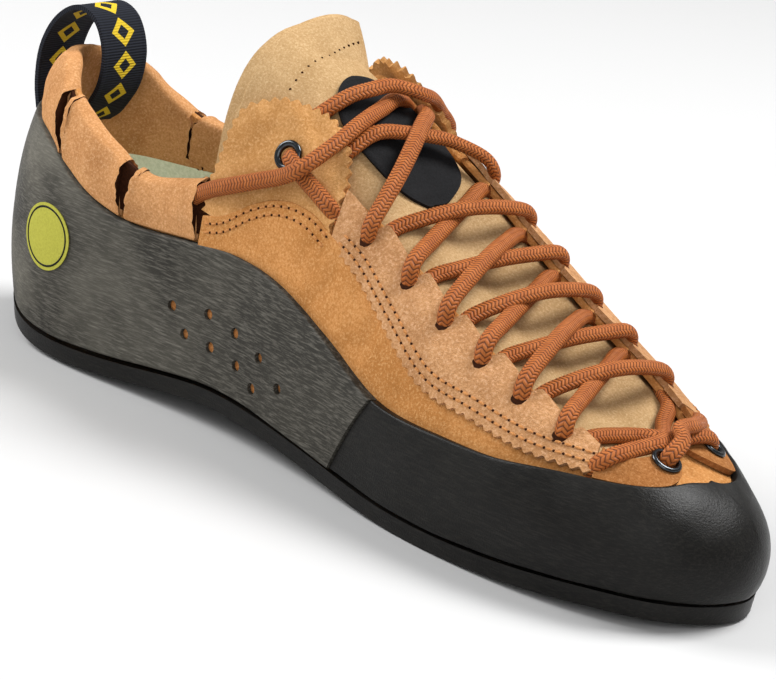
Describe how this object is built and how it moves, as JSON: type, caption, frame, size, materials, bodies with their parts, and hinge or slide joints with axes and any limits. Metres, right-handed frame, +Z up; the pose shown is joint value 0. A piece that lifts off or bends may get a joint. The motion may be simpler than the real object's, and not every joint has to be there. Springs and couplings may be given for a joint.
{
  "type": "climbing shoe",
  "caption": "Lace-up climbing shoe for the left foot with a suede upper, rubber sole and rands, long lacing to the toe, ankle flaps and a heel pull loop.",
  "frame": {"origin": "middle of the heel's flat spot on the floor", "axes": "+X to the toe, +Y to the outer side of this left shoe, +Z up"},
  "size_m": [0.2595, 0.091, 0.1015],
  "materials": {
    "toe_rubber": "brushed black friction rubber",
    "rand_rubber": "matt grey rubber with a fine ground grain",
    "suede": "orange tan split suede",
    "collar_suede": "light tan suede",
    "flap_suede": "brown tan suede with pinked edges",
    "rough_suede": "rough pinkish tan suede",
    "tongue_suede": "beige suede",
    "black_cloth": "plain black woven patch",
    "webbing": "blue black woven tape with yellow dashes",
    "lace_cord": "russet braided round lace",
    "insole_felt": "pale green lining",
    "eyelet_metal": "dark gunmetal eyelet"
  },
  "bodies": {
    "root": {"outsole": "toe_rubber", "insole": "insole_felt", "upper": "suede", "tongue": "tongue_suede", "tongue_patch": "black_cloth", "heel_strip": "rand_rubber", "heel_rand": "rand_rubber", "toe_rand": "toe_rubber", "pull_loop": "webbing", "heel_tab": "collar_suede", "collar_rear_medial": "collar_suede", "collar_rear_lateral": "collar_suede", "collar_front_medial": "collar_suede", "collar_front_lateral": "collar_suede", "flap_medial": "flap_suede", "flap_lateral": "flap_suede", "eyestay_medial": "rough_suede", "eyestay_lateral": "rough_suede", "toe_tab_medial": "rough_suede", "toe_tab_lateral": "rough_suede", "lace_crossings": "lace_cord", "lace_ankle_medial": "lace_cord", "lace_ankle_lateral": "lace_cord", "eyelet_top_medial": "eyelet_metal", "eyelet_top_lateral": "eyelet_metal", "eyelet_toe_medial": "eyelet_metal", "eyelet_toe_lateral": "eyelet_metal"}
  },
  "joints": []
}
